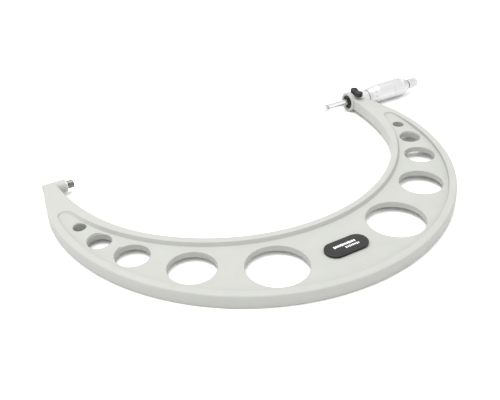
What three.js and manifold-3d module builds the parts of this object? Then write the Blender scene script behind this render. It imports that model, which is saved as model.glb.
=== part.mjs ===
// Outside micrometer, range 250 to 275 mm, shown at its zero reading (250 mm between the faces).
// Millimetres, +Z up. Origin: centre of the anvil's measuring face. +X runs along the measuring
// axis from the anvil to the ratchet knob, the bow hangs towards -Y and +Z is normal to its front.

import * as THREE from 'three'
import { mergeVertices } from 'three/addons/utils/BufferGeometryUtils.js'
import Module from 'manifold-3d'

// ---- driving dimensions ----

const GAP = 250 // between the measuring faces at the zero reading
const MEASURING_R = 3.25 // anvil and spindle
const TIP_LENGTH = 3.2 // the spindle's carbide tip
const ANVIL_TIP_LENGTH = 5.2
const ROUND = 36 // facets of a turned piece, a multiple of the ratchet's teeth
const RUNNING_GAP = 0.05 // radial, between turning pieces and their bores
const JOINT_GAP = 0.05 // between fixed neighbours

// frame
const BOW_X = 131.8 // the outside of the bow is symmetrical about this plane
const THICKNESS = 10.6
const RECESS_DEPTH = 2.9
const RUN_OUT = { depth: 1.3, from: -80, to: -45 } // the recesses get shallower up the legs
const INNER_EDGE = { x: 1.2, y: -3.5, r: 149.5 } // arc round the throat
const OUTER_EDGE = { y: -58, r: 166.1 } // arc round the outside of the bow
const INNER_WALL = { x: 0.4, y: -3.3, r: 155.7 } // recess wall beside the inner rim
const OUTER_WALL = { y: -58.3, r: 159.8 } // recess wall beside the outer rim
const RECESS_END_R = 5.5
const LEG_INNER_X = 145.6 // straight inner edge of each leg, from the plane of symmetry
const LEG_OUTER_X = 156.4 // each leg's outer corner at the measuring axis
const LEG_SHOULDER_Y = -45 // where each leg's outer edge joins the outer arc
const LEG_BULGE = { out: 6.4, up: 17 } // control point of that edge, from its two ends
// Each leg's straight inner edge ends at start and curves into the throat's arc at angle, below
// the arc's centre. lean: how far the curve's control point stands in from the straight edge.
const THROAT = { start: -10, lean: 4.6, angle: (40 * Math.PI) / 180 }
const ARC_STEPS = 36
const HOLES_X = 132.5 // the pairs of holes are symmetrical about this plane
const LIGHTENING_HOLES = [
  { x: 150.1, y: -67.3, r: 4.9 },
  { x: 143.6, y: -90.4, r: 8.8 },
  { x: 130.1, y: -118.1, r: 12.5 },
  { x: 101.2, y: -152.1, r: 17.2 },
  { x: 51.4, y: -180.9, r: 22.3 },
]

// anvil end
const ANVIL_BLOCK = { from: -24.4, to: -6, r: 5.25 }
const ANVIL_SEAT = -20 // bottom of the bore that holds the anvil
const KNOCKOUT_R = 2.8

// spindle boss
const BOSS = { from: 276, to: 289.6, r: 8 }
const FLANGE = { to: 280.4, r: 9.3, chamfer: 0.9 }
const COUNTERBORE = { to: 281, r: 6.6 }
const STEM_R = 4.95
const SEAL = { from: 277.2, lip: 0.7, lipEnd: 278.8, air: 0.3 } // air: radial, round the rod

// black plate
const BADGE = { x: 132.3, y: -189.1, length: 35, width: 16, height: 1.9 }

// stem, sleeve and nut
const STEM_END = 338.5
const GUIDE_END = 296.5 // end of the close bore for the measuring rod
const NUT_START = 322 // start of the lead nut inside the stem
const THREAD_R = 3.7 // lead screw, 0.5 mm pitch, as a plain cylinder
const THREAD_START = 297
const SLEEVE = { to: 330.3, r: 6.1 }
const ADJUSTER = { from: 331, to: 336.5, r: 5.9 }
const NUT_SLOTS = { count: 3, length: 16, width: 0.6, reach: 8 } // let the nut close on the screw

// thimble
const THIMBLE = { edge: 299.8, edgeR: 6.8, bevelEnd: 312, r: 8.9, coneStart: 342.2 }
const THIMBLE_END = { x: 349.6, r: 5.8 }
const THIMBLE_BORE_END = 341
const THIMBLE_AIR = 0.25 // radial, over the sleeve
const TAPER = { from: 342, to: 348, endR: 3.0 }

// ratchet
const STUD = { from: 339, r: 1.95, air: 1 } // air: left at the bottom of its tapped hole
const COLLAR = { from: 349.7, to: 351.3, r: 4.1 }
const POST = { to: 360.9, r: 1.5 }
const TEETH = 12
const TOOTH = { width: 0.54, height: 0.55, crest: 0.1, root: 0.2, inner: 2.2, outer: 3.9 }
const CROWN = { from: 352, to: 353.4, r: 4.05 }
const SPRING = { from: 353.9, to: 359.6, r: 2.6, wire: 0.28, turns: 5 }
const KNOB = { from: 351.6, wall: 360.0, floor: 360.7, to: 363.0, r: 4.95, inner: 4.3 }
const KNOB_DOME = { start: 361.0, shoulder: 362.5, shoulderR: 4.5, endR: 3.5 }
const KNOB_CHAMFER = { depth: 0.2, length: 0.3 }
const KNOB_RECESS_R = 2.6
const KNOB_SCREW = { r: 0.75, tapR: 0.8, tapDepth: 5, length: 4.5, headR: 2.4, headHeight: 1.3 }
const SCREW_SLOT = { width: 0.6, depth: 0.6 }
const SCREW_CHAMFER = { depth: 0.4, length: 0.3 }

// spindle lock
const LOCK_X = 284.1
const LOCK_SEAT = 7.65 // level of the spot face in the boss that carries the lever
const LOCK_SEAT_R = 3.65
const WASHER_HEIGHT = 0.4
const LEVER = { height: 4.1, hubR: 3.6, reach: 9, endR: 3.6, waist: 3.2 }
const LEVER_NECK = 0.75 // angle on the hub between the lever's middle and the start of its neck
const LEVER_REST = -0.12 // turn about the screw from pointing at -Y
const LOCK_THREAD_R = 1.6
const LOCK_HEAD = { r: 2.2, height: 1.5, slotWidth: 0.7, slotDepth: 0.6 }
const LOCK_SCREW_AIR = 0.15 // between the screw's end and the pad
const PAD = { r: 1.45, clear: 0.2, top: 5.0 } // clear: air above the spindle when the lock is off

// ---- materials ----

const finish = (color, roughness, metalness) =>
  new THREE.MeshStandardMaterial({ color, roughness, metalness })

const paint = finish(0xe2e4de, 0.55, 0.0)
const carbide = finish(0x55575a, 0.3, 0.9)
const groundSteel = finish(0xc9cbcd, 0.18, 1.0)
const satinChrome = finish(0xdcdddd, 0.35, 1.0)
const plainSteel = finish(0x9a9c9e, 0.4, 1.0)
const blackPlastic = finish(0x26272a, 0.25, 0.0)
const blackOxide = finish(0x1c1c1d, 0.4, 0.6)
const brass = finish(0xb9974f, 0.35, 1.0)

// ---- solids ----

const wasm = await Module()
wasm.setup()

// Merges shared vertices and drops triangles that have no area.
function closed(geometry) {
  const bare = geometry.clone()
  bare.deleteAttribute('normal')
  bare.deleteAttribute('uv')
  const merged = mergeVertices(bare, 1e-5)
  const index = merged.getIndex().array
  const kept = []
  for (let i = 0; i < index.length; i += 3) {
    const [a, b, c] = [index[i], index[i + 1], index[i + 2]]
    if (a !== b && b !== c && c !== a) kept.push(a, b, c)
  }
  merged.setIndex(kept)
  return merged
}

function toSolid(geometry) {
  const merged = closed(geometry)
  return new wasm.Manifold(
    new wasm.Mesh({
      numProp: 3,
      vertProperties: new Float32Array(merged.getAttribute('position').array),
      triVerts: new Uint32Array(merged.getIndex().array),
    }),
  )
}

function toGeometry(solid) {
  const mesh = solid.getMesh()
  const geometry = new THREE.BufferGeometry()
  geometry.setAttribute('position', new THREE.BufferAttribute(mesh.vertProperties, 3))
  geometry.setIndex(new THREE.BufferAttribute(mesh.triVerts, 1))
  return geometry
}

const join = (first, ...others) => others.reduce((sum, other) => sum.add(other), first)
const cut = (body, ...tools) => tools.reduce((rest, tool) => rest.subtract(tool), body)

// A profile of [x, radius] corners turned about the measuring axis.
function turned(profile) {
  const points = profile.map(([x, r]) => new THREE.Vector2(r, x))
  return new THREE.LatheGeometry(points, ROUND).rotateZ(-Math.PI / 2)
}

const rod = (from, to, r) => turned([[from, 0], [from, r], [to, r], [to, 0]])

const tube = (from, to, r, bore) =>
  turned([[from, bore], [from, r], [to, r], [to, bore], [from, bore]])

// A plain cylinder along Z.
function upright(x, y, from, to, r, facets = ROUND) {
  const height = to - from
  const geometry = new THREE.CylinderGeometry(r, r, height, facets)
  return geometry.rotateX(Math.PI / 2).translate(x, y, from + height / 2)
}

function extruded(shape, from, height, curveSegments) {
  const options = { depth: height, bevelEnabled: false, curveSegments }
  return new THREE.ExtrudeGeometry(shape, options).translate(0, 0, from)
}

// ---- frame ----

// Where a leg's inner edge meets the throat's arc, and the control point of the curve between
// them. The control point is on the arc's tangent, so there is no corner. side is 1 on the right.
function legCurve(side) {
  const end = {
    x: INNER_EDGE.x + side * INNER_EDGE.r * Math.cos(THROAT.angle),
    y: INNER_EDGE.y - INNER_EDGE.r * Math.sin(THROAT.angle),
  }
  const x = side * (LEG_INNER_X - THROAT.lean)
  const control = { x, y: end.y + (side * (x - end.x)) / Math.tan(THROAT.angle) }
  return { end, control }
}

// Plan of the bow, drawn about the plane of symmetry of its outside.
function bowShape() {
  const right = legCurve(1)
  const left = legCurve(-1)
  const shoulderAngle = Math.asin((LEG_SHOULDER_Y - OUTER_EDGE.y) / OUTER_EDGE.r)
  const shoulderX = OUTER_EDGE.r * Math.cos(shoulderAngle)
  const bend = { x: LEG_OUTER_X + LEG_BULGE.out, y: LEG_SHOULDER_Y + LEG_BULGE.up }
  const shape = new THREE.Shape()
  shape.moveTo(LEG_INNER_X, 0)
  shape.lineTo(LEG_INNER_X, THROAT.start)
  shape.quadraticCurveTo(right.control.x, right.control.y, right.end.x, right.end.y)
  const { x, y: throatY, r: throatR } = INNER_EDGE
  shape.absarc(x, throatY, throatR, -THROAT.angle, THROAT.angle - Math.PI, true)
  shape.quadraticCurveTo(left.control.x, left.control.y, -LEG_INNER_X, THROAT.start)
  shape.lineTo(-LEG_INNER_X, 0)
  shape.lineTo(-LEG_OUTER_X, 0)
  shape.quadraticCurveTo(-bend.x, bend.y, -shoulderX, LEG_SHOULDER_Y)
  const { y, r } = OUTER_EDGE
  shape.absarc(0, y, r, Math.PI - shoulderAngle, 2 * Math.PI + shoulderAngle, false)
  shape.quadraticCurveTo(bend.x, bend.y, LEG_OUTER_X, 0)
  shape.closePath()
  return shape
}

// Centre of the round end that touches both walls of the recess. side is 1 on the right.
function recessEnd(side) {
  const outerReach = OUTER_WALL.r - RECESS_END_R
  const innerReach = INNER_WALL.r + RECESS_END_R
  const way = new THREE.Vector2(INNER_WALL.x, INNER_WALL.y - OUTER_WALL.y)
  const gap = way.length()
  way.normalize()
  const along = (outerReach ** 2 - innerReach ** 2 + gap ** 2) / (2 * gap)
  const across = side * Math.sqrt(outerReach ** 2 - along ** 2)
  const x = along * way.x + across * way.y
  const y = OUTER_WALL.y + along * way.y - across * way.x
  const inner = Math.atan2(y - INNER_WALL.y, x - INNER_WALL.x)
  // from -90 degrees up to 270, so that the left end's angle stays near 180
  const outer = Math.atan2(x, OUTER_WALL.y - y) - Math.PI / 2
  return { x, y, inner, outer: side > 0 ? outer : outer + 2 * Math.PI }
}

// Plan of the recess: two walls joined by round ends.
function recessShape() {
  const right = recessEnd(1)
  const left = recessEnd(-1)
  const turn = Math.PI
  const shape = new THREE.Shape()
  shape.absarc(INNER_WALL.x, INNER_WALL.y, INNER_WALL.r, right.inner, left.inner, true)
  shape.absarc(left.x, left.y, RECESS_END_R, left.inner + turn, left.outer, false)
  shape.absarc(0, OUTER_WALL.y, OUTER_WALL.r, left.outer, 2 * turn + right.outer, false)
  shape.absarc(right.x, right.y, RECESS_END_R, right.outer, turn + right.inner, false)
  return shape
}

function recessDepth(y) {
  const share = Math.min(1, Math.max(0, (y - RUN_OUT.from) / (RUN_OUT.to - RUN_OUT.from)))
  return RECESS_DEPTH + share * (RUN_OUT.depth - RECESS_DEPTH)
}

// The front recess for side 1 and the back recess for side -1.
function recessCutter(side) {
  const geometry = extruded(recessShape(), 0, 1, ARC_STEPS)
  const corners = geometry.getAttribute('position')
  for (let i = 0; i < corners.count; i += 1) {
    const atFloor = corners.getZ(i) === (side > 0 ? 0 : 1)
    const sunk = atFloor ? -recessDepth(corners.getY(i)) : 1
    corners.setZ(i, side * (THICKNESS / 2 + sunk))
  }
  return toSolid(geometry.translate(BOW_X, 0, 0))
}

function makeFrame() {
  const half = THICKNESS / 2
  const bow = toSolid(extruded(bowShape(), -half, THICKNESS, ARC_STEPS).translate(BOW_X, 0, 0))
  const block = toSolid(rod(ANVIL_BLOCK.from, ANVIL_BLOCK.to, ANVIL_BLOCK.r))
  const { from, to, r } = BOSS
  const boss = toSolid(
    turned([
      [from, 0],
      [from, FLANGE.r - FLANGE.chamfer],
      [from + FLANGE.chamfer, FLANGE.r],
      [FLANGE.to, FLANGE.r],
      [FLANGE.to, r],
      [to, r],
      [to, 0],
    ]),
  )

  const holes = LIGHTENING_HOLES.flatMap(({ x, y, r: holeR }) =>
    [-1, 1].map((side) => toSolid(upright(HOLES_X + side * x, y, -half, half, holeR))),
  )
  const anvilBore = toSolid(rod(ANVIL_SEAT, ANVIL_BLOCK.to + 1, MEASURING_R + JOINT_GAP))
  const knockout = toSolid(rod(ANVIL_BLOCK.from - 1, ANVIL_SEAT + 1, KNOCKOUT_R))
  const stemBore = toSolid(rod(from - 1, to + 1, STEM_R + JOINT_GAP))
  const counterbore = toSolid(rod(from - 1, COUNTERBORE.to, COUNTERBORE.r))
  const spotFace = toSolid(upright(LOCK_X, 0, LOCK_SEAT, LOCK_SEAT + 1, LOCK_SEAT_R))
  const lockBore = toSolid(upright(LOCK_X, 0, 0, LOCK_SEAT + 1, LOCK_THREAD_R + JOINT_GAP))
  const body = join(bow, block, boss)
  const bores = [anvilBore, knockout, stemBore, counterbore, spotFace, lockBore]
  return toGeometry(cut(body, recessCutter(1), recessCutter(-1), ...holes, ...bores))
}

function makeBadge() {
  const r = BADGE.width / 2
  const reach = BADGE.length / 2 - r
  const shape = new THREE.Shape()
  shape.absarc(reach, 0, r, -Math.PI / 2, Math.PI / 2, false)
  shape.absarc(-reach, 0, r, Math.PI / 2, (3 * Math.PI) / 2, false)
  const floor = THICKNESS / 2 - RECESS_DEPTH
  return extruded(shape, floor + JOINT_GAP, BADGE.height, ROUND / 2).translate(BADGE.x, BADGE.y, 0)
}

// ---- measuring axis ----

function makeSealRing() {
  const { from, lip, lipEnd } = SEAL
  const to = COUNTERBORE.to - 2 * JOINT_GAP
  const bore = MEASURING_R + SEAL.air
  const r = COUNTERBORE.r - JOINT_GAP
  return turned([[from, r - lip], [from, r], [to, r], [to, bore], [lipEnd, bore], [from, r - lip]])
}

// The tube in the frame: a close bore for the rod, a clear bore, then the slotted lead nut.
function makeStem() {
  const start = COUNTERBORE.to + JOINT_GAP
  const body = toSolid(
    turned([
      [start, MEASURING_R + RUNNING_GAP],
      [start, STEM_R],
      [STEM_END, STEM_R],
      [STEM_END, THREAD_R + RUNNING_GAP],
      [NUT_START, THREAD_R + RUNNING_GAP],
      [NUT_START, THREAD_R + 4 * RUNNING_GAP],
      [GUIDE_END, THREAD_R + 4 * RUNNING_GAP],
      [GUIDE_END, MEASURING_R + RUNNING_GAP],
      [start, MEASURING_R + RUNNING_GAP],
    ]),
  )
  const { count, length, width, reach } = NUT_SLOTS
  const slots = Array.from({ length: count }, (_, i) => {
    const slot = new THREE.BoxGeometry(length, width, reach)
    slot.translate(STEM_END + 1 - length / 2, 0, MEASURING_R / 2 + reach / 2)
    return toSolid(slot.rotateX((i * 2 * Math.PI) / count))
  })
  const padHole = toSolid(upright(LOCK_X, 0, 0, STEM_R + 1, PAD.r + RUNNING_GAP))
  return toGeometry(cut(body, ...slots, padHole))
}

// Measuring rod, lead screw and taper, with a tapped hole in the end for the ratchet stud.
function makeSpindle() {
  return turned([
    [GAP + TIP_LENGTH + JOINT_GAP, 0],
    [GAP + TIP_LENGTH + JOINT_GAP, MEASURING_R],
    [THREAD_START, MEASURING_R],
    [THREAD_START, THREAD_R],
    [TAPER.from, THREAD_R],
    [TAPER.to, TAPER.endR],
    [TAPER.to, STUD.r + JOINT_GAP],
    [STUD.from - STUD.air, STUD.r + JOINT_GAP],
    [STUD.from - STUD.air, 0],
  ])
}

function makeThimble() {
  const bore = SLEEVE.r + THIMBLE_AIR
  const { edge, edgeR, bevelEnd, r, coneStart } = THIMBLE
  return turned([
    [edge, bore],
    [edge, edgeR],
    [bevelEnd, r],
    [coneStart, r],
    [THIMBLE_END.x, THIMBLE_END.r],
    [THIMBLE_END.x, TAPER.endR + JOINT_GAP],
    [TAPER.to, TAPER.endR + JOINT_GAP],
    [TAPER.from, THREAD_R + JOINT_GAP],
    [THIMBLE_BORE_END, THREAD_R + JOINT_GAP],
    [THIMBLE_BORE_END, bore],
    [edge, bore],
  ])
}

// ---- ratchet ----

// One saw tooth standing on a face at x, pointing along direction, at a turn about the axis.
function tooth(x, direction, angle) {
  const half = TOOTH.width / 2
  const shape = new THREE.Shape()
  shape.moveTo(-half, -TOOTH.root)
  shape.lineTo(half, -TOOTH.root)
  shape.lineTo(half, TOOTH.height)
  shape.lineTo(half - TOOTH.crest, TOOTH.height)
  shape.lineTo(-half, 0)
  shape.closePath()
  const wedge = extruded(shape, TOOTH.inner, TOOTH.outer - TOOTH.inner, 1)
  // tangent stays on Y, height goes along X and the radial length stays on Z
  wedge.rotateZ(-Math.PI / 2)
  if (direction < 0) wedge.rotateZ(Math.PI)
  return toSolid(wedge.translate(x, 0, 0).rotateX(angle))
}

function teeth(x, direction, offset) {
  const step = (2 * Math.PI) / TEETH
  return Array.from({ length: TEETH }, (_, i) => tooth(x, direction, offset + i * step))
}

function makeRatchetBase() {
  const { tapR, tapDepth } = KNOB_SCREW
  const body = toSolid(
    turned([
      [STUD.from, 0],
      [STUD.from, STUD.r],
      [COLLAR.from, STUD.r],
      [COLLAR.from, COLLAR.r],
      [COLLAR.to, COLLAR.r],
      [COLLAR.to, POST.r],
      [POST.to, POST.r],
      [POST.to, tapR],
      [POST.to - tapDepth, tapR],
      [POST.to - tapDepth, 0],
    ]),
  )
  return toGeometry(join(body, ...teeth(COLLAR.to, 1, 0)))
}

function makeCrown() {
  const ring = toSolid(tube(CROWN.from, CROWN.to, CROWN.r, POST.r + RUNNING_GAP))
  return toGeometry(join(ring, ...teeth(CROWN.from, -1, Math.PI / TEETH)))
}

class Helix extends THREE.Curve {
  getPoint(t, target = new THREE.Vector3()) {
    const angle = t * SPRING.turns * 2 * Math.PI
    const x = SPRING.from + t * (SPRING.to - SPRING.from)
    return target.set(x, SPRING.r * Math.cos(angle), SPRING.r * Math.sin(angle))
  }
}

function makeSpring() {
  const wire = new THREE.Shape()
  wire.absarc(0, 0, SPRING.wire, 0, 2 * Math.PI, false)
  const options = { steps: SPRING.turns * 14, curveSegments: 6, extrudePath: new Helix() }
  return new THREE.ExtrudeGeometry(wire, options)
}

function makeKnob() {
  const { from, wall, floor, to, r, inner } = KNOB
  const postBore = POST.r + RUNNING_GAP
  return turned([
    [from, inner],
    [from, r - KNOB_CHAMFER.depth],
    [from + KNOB_CHAMFER.length, r],
    [KNOB_DOME.start, r],
    [KNOB_DOME.shoulder, KNOB_DOME.shoulderR],
    [to, KNOB_DOME.endR],
    [to, KNOB_RECESS_R],
    [floor, KNOB_RECESS_R],
    [floor, postBore],
    [wall, postBore],
    [wall, inner],
    [from, inner],
  ])
}

function makeRatchetScrew() {
  const { r, length, headR, headHeight } = KNOB_SCREW
  const seat = POST.to + JOINT_GAP
  const end = POST.to - length
  const top = seat + headHeight
  const body = toSolid(
    turned([
      [end, 0],
      [end, r],
      [seat, r],
      [seat, headR],
      [top - SCREW_CHAMFER.length, headR],
      [top, headR - SCREW_CHAMFER.depth],
      [top, 0],
    ]),
  )
  const slot = new THREE.BoxGeometry(2 * SCREW_SLOT.depth, 3 * headR, SCREW_SLOT.width)
  return toGeometry(cut(body, toSolid(slot.translate(top, 0, 0))))
}

// ---- spindle lock ----

function leverShape() {
  const { hubR, reach, endR, waist } = LEVER
  const shape = new THREE.Shape()
  shape.absarc(0, 0, hubR, -Math.PI / 2 + LEVER_NECK, (3 * Math.PI) / 2 - LEVER_NECK, false)
  shape.quadraticCurveTo(-waist, -reach / 2, -endR, -reach)
  shape.absarc(0, -reach, endR, Math.PI, 2 * Math.PI, false)
  const neck = { x: hubR * Math.sin(LEVER_NECK), y: -hubR * Math.cos(LEVER_NECK) }
  shape.quadraticCurveTo(waist, -reach / 2, neck.x, neck.y)
  return shape
}

const leverFrom = LOCK_SEAT + WASHER_HEIGHT + 2 * JOINT_GAP
const headSeat = leverFrom + LEVER.height - LOCK_HEAD.height

function makeLever() {
  const arm = extruded(leverShape(), leverFrom, LEVER.height, 14).rotateZ(LEVER_REST)
  const plate = toSolid(arm.translate(LOCK_X, 0, 0))
  const bore = toSolid(upright(LOCK_X, 0, leverFrom - 1, headSeat + 1, LOCK_THREAD_R + JOINT_GAP))
  const sink = toSolid(upright(LOCK_X, 0, headSeat, headSeat + 5, LOCK_HEAD.r + JOINT_GAP))
  return toGeometry(cut(plate, bore, sink))
}

function makeLockScrew() {
  const { r, height, slotWidth, slotDepth } = LOCK_HEAD
  const bottom = PAD.top + LOCK_SCREW_AIR
  const top = headSeat + height
  const shank = toSolid(upright(LOCK_X, 0, bottom, headSeat + 0.5, LOCK_THREAD_R))
  const head = toSolid(upright(LOCK_X, 0, headSeat + JOINT_GAP, top, r))
  const slot = new THREE.BoxGeometry(3 * r, slotWidth, 2 * slotDepth).translate(LOCK_X, 0, top)
  return toGeometry(cut(join(shank, head), toSolid(slot)))
}

function makeWasher() {
  const from = LOCK_SEAT + JOINT_GAP
  const disc = toSolid(upright(LOCK_X, 0, from, from + WASHER_HEIGHT, LEVER.hubR - 0.2))
  const hole = toSolid(upright(LOCK_X, 0, from - 1, from + 2, LOCK_THREAD_R + JOINT_GAP))
  return toGeometry(cut(disc, hole))
}

const makePad = () => upright(LOCK_X, 0, MEASURING_R + PAD.clear, PAD.top, PAD.r)

// ---- assembly ----

const group = new THREE.Group()

function add(name, geometry, material) {
  const mesh = new THREE.Mesh(geometry, material)
  mesh.name = name
  group.add(mesh)
}

const anvilShoulder = -ANVIL_TIP_LENGTH - JOINT_GAP
add('frame', makeFrame(), paint)
add('anvil', rod(ANVIL_SEAT + 0.3, anvilShoulder, MEASURING_R), groundSteel)
add('anvil_tip', rod(-ANVIL_TIP_LENGTH, 0, MEASURING_R), carbide)
add('badge_plate', makeBadge(), blackPlastic)
add('seal_ring', makeSealRing(), blackOxide)
add('stem', makeStem(), plainSteel)
const nutBore = STEM_R + JOINT_GAP
add('adjusting_nut', tube(ADJUSTER.from, ADJUSTER.to, ADJUSTER.r, nutBore), plainSteel)
add('graduated_sleeve', tube(BOSS.to + JOINT_GAP, SLEEVE.to, SLEEVE.r, nutBore), satinChrome)
add('spindle_tip', rod(GAP, GAP + TIP_LENGTH, MEASURING_R), carbide)
add('spindle', makeSpindle(), groundSteel)
add('thimble', makeThimble(), satinChrome)
add('ratchet_base', makeRatchetBase(), plainSteel)
add('ratchet_crown', makeCrown(), plainSteel)
add('ratchet_spring', makeSpring(), plainSteel)
add('ratchet_knob', makeKnob(), satinChrome)
add('ratchet_screw', makeRatchetScrew(), plainSteel)
add('lock_lever', makeLever(), blackOxide)
add('lock_screw', makeLockScrew(), blackOxide)
add('lever_washer', makeWasher(), plainSteel)
add('lock_pad', makePad(), brass)

export default group
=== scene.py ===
"""Looks of a 250 to 275 mm outside micrometer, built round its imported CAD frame.

Lengths in the part frame are written in millimetres and turned into metres when a mesh is made.
+X runs along the measuring axis, the bow hangs towards -Y and +Z faces the viewer.
"""

import math

import bmesh
import bpy
from mathutils import Matrix, Vector


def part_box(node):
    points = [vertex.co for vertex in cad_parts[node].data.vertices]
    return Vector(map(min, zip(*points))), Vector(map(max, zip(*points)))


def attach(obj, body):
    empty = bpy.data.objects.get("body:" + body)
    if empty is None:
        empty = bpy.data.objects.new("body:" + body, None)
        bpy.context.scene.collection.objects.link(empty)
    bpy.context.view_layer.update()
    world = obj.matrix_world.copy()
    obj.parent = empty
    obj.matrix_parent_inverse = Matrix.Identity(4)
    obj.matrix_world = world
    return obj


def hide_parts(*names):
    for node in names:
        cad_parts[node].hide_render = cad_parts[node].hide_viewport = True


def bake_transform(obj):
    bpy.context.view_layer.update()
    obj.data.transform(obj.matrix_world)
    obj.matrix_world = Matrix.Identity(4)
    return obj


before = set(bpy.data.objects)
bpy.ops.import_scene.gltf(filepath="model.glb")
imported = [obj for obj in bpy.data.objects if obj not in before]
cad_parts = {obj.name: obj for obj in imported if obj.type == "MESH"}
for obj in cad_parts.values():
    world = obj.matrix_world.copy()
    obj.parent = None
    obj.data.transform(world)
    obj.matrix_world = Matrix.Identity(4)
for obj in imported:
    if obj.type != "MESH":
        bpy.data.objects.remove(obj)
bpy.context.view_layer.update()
MM = 0.001
JOINT_GAP = 0.05  # between fixed neighbours, in mm

# ---- driving dimensions of the casting, in mm ----

BOW_X = 131.8  # the outside of the bow is symmetrical about this plane
HOLES_X = 132.5  # and the pairs of holes about this one
INNER_EDGE = {"x": 1.2, "y": -3.5, "r": 149.5}  # arc round the throat
OUTER_EDGE = {"y": -58.0, "r": 166.1}  # arc round the outside of the bow
INNER_WALL = {"x": 0.4, "y": -3.3, "r": 155.7}  # recess wall beside the inner rim
OUTER_WALL = {"y": -58.3, "r": 159.8}  # recess wall beside the outer rim
RECESS_END_R = 5.5
RECESS_DEPTH = 2.9
RUN_OUT = {"depth": 1.3, "from": -80.0, "to": -45.0}  # the recesses get shallower up the legs
LEG_INNER_X = 145.6
LEG_OUTER_X = 156.4
LEG_END = 0.83  # how far each leg runs into its block or boss, past the measuring axis
LEG_SHOULDER_Y = -45.0
LEG_BULGE = {"out": 6.4, "up": 17.0}
THROAT = {"start": -10.0, "lean": 4.6, "angle": math.radians(40)}  # each leg's run into the arc
HOLES = ((150.1, -67.3, 4.9), (143.6, -90.4, 8.8), (130.1, -118.1, 12.5),
         (101.2, -152.1, 17.2), (51.4, -180.9, 22.3))
EDGE_R = 1.3  # rounding of the casting's outer edges
WALL_EDGE_R = 0.55  # rounding where a rim meets its recess wall
FLOOR_FILLET = 0.9  # hollow where a recess wall meets the floor
HOLE_EDGE_R = 0.45
INNER_DRAFT = 1.0  # how far the inner recess wall leans in towards its floor
OUTER_DRAFT = 0.2
DRAFT = 0.1  # bulge of the side walls at mid thickness
PLAN_STEP = 2.2  # spacing of points along the plan curves
ROUND = 96  # facets round a turned piece


def span(node):
    """The lowest and highest corner of a CAD node, in mm."""
    low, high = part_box(node)
    return low / MM, high / MM


HALF = 5.3  # half the casting's thickness
ANVIL_SEAT = span("anvil")[0].x - 0.3  # bottom of the bore that holds the anvil
BLOCK_FROM = ANVIL_SEAT - 4.4
BLOCK_TO = -6.0
BOSS_FROM = span("seal_ring")[0].x - 1.2
BOSS_TO = span("graduated_sleeve")[0].x - JOINT_GAP
BOSS_R = 8.0
FLANGE_TO = 280.4
FLANGE_R = span("frame")[1].y


# ---- mesh helpers ----


def arc(centre, r, start, end, step=PLAN_STEP):
    """Points on an arc, angles in radians, without its last point."""
    count = max(3, round(abs(end - start) * r / step))
    angles = [start + (end - start) * i / count for i in range(count)]
    return [(centre[0] + r * math.cos(a), centre[1] + r * math.sin(a)) for a in angles]


def segment(a, b, count):
    """Points on a straight line, without its last point."""
    shares = [i / count for i in range(count)]
    return [(a[0] + (b[0] - a[0]) * t, a[1] + (b[1] - a[1]) * t) for t in shares]


def bezier(a, b, c, count):
    """A quadratic curve from a to c with control point b, without its last point."""
    points = []
    for i in range(count):
        t = i / count
        u = 1 - t
        points.append(tuple(u * u * p + 2 * u * t * q + t * t * s for p, q, s in zip(a, b, c)))
    return points


def inset(points, distance):
    """A closed counter-clockwise outline moved inwards by distance."""
    moved = []
    for i, here in enumerate(points):
        before = Vector(points[i - 1])
        after = Vector(points[(i + 1) % len(points)])
        here = Vector(here)
        first = (here - before).normalized()
        second = (after - here).normalized()
        n1 = Vector((-first.y, first.x))
        n2 = Vector((-second.y, second.x))
        mitre = (n1 + n2).normalized()
        moved.append(tuple(here + mitre * (distance / max(0.3, mitre.dot(n1)))))
    return moved


def soften(corners, steps=4):
    """Rounds a polyline's corners. A corner is (along, across, radius)."""
    points = []
    last = len(corners) - 1
    for i, (x, y, radius) in enumerate(corners):
        here = Vector((x, y))
        if i in (0, last) or radius <= 0:
            points.append((x, y))
            continue
        back = Vector(corners[i - 1][:2]) - here
        on = Vector(corners[i + 1][:2]) - here
        reach = min(radius, 0.49 * back.length, 0.49 * on.length)
        a = here + back.normalized() * reach
        c = here + on.normalized() * reach
        points += bezier(tuple(a), (x, y), tuple(c), steps) + [tuple(c)]
    return points


def loft(rings):
    """A closed bmesh through rings of equally many points, capped by the first and last."""
    bm = bmesh.new()
    loops = [[bm.verts.new(p) for p in ring] for ring in rings]
    for lower, upper in zip(loops, loops[1:]):
        for i in range(len(lower)):
            j = (i + 1) % len(lower)
            bm.faces.new((lower[i], lower[j], upper[j], upper[i]))
    bm.faces.new(loops[0][::-1])
    bm.faces.new(loops[-1])
    bmesh.ops.recalc_face_normals(bm, faces=bm.faces)
    return bm


def turn(profile, steps=ROUND, relief=None):
    """A profile of (x, radius) turned about the measuring axis.

    The profile starts and ends on the axis, or closes on itself. relief(x, share) lowers the
    radius, share being the part of a full turn from +Y.
    """
    bm = bmesh.new()
    closed = profile[0] == profile[-1]
    rows = profile[:-1] if closed else profile
    loops = []
    for x, r in rows:
        if r <= 0:
            loops.append([bm.verts.new((x, 0, 0))])
            continue
        loop = []
        for i in range(steps):
            angle = 2 * math.pi * i / steps
            radius = r - (relief(x, i / steps) if relief else 0)
            loop.append(bm.verts.new((x, radius * math.cos(angle), radius * math.sin(angle))))
        loops.append(loop)
    pairs = list(zip(loops, loops[1:])) + ([(loops[-1], loops[0])] if closed else [])
    for a, b in pairs:
        for i in range(steps):
            j = (i + 1) % steps
            if len(a) == 1:
                bm.faces.new((a[0], b[j], b[i]))
            elif len(b) == 1:
                bm.faces.new((a[i], a[j], b[0]))
            else:
                bm.faces.new((a[i], a[j], b[j], b[i]))
    bmesh.ops.recalc_face_normals(bm, faces=bm.faces)
    return bm


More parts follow.
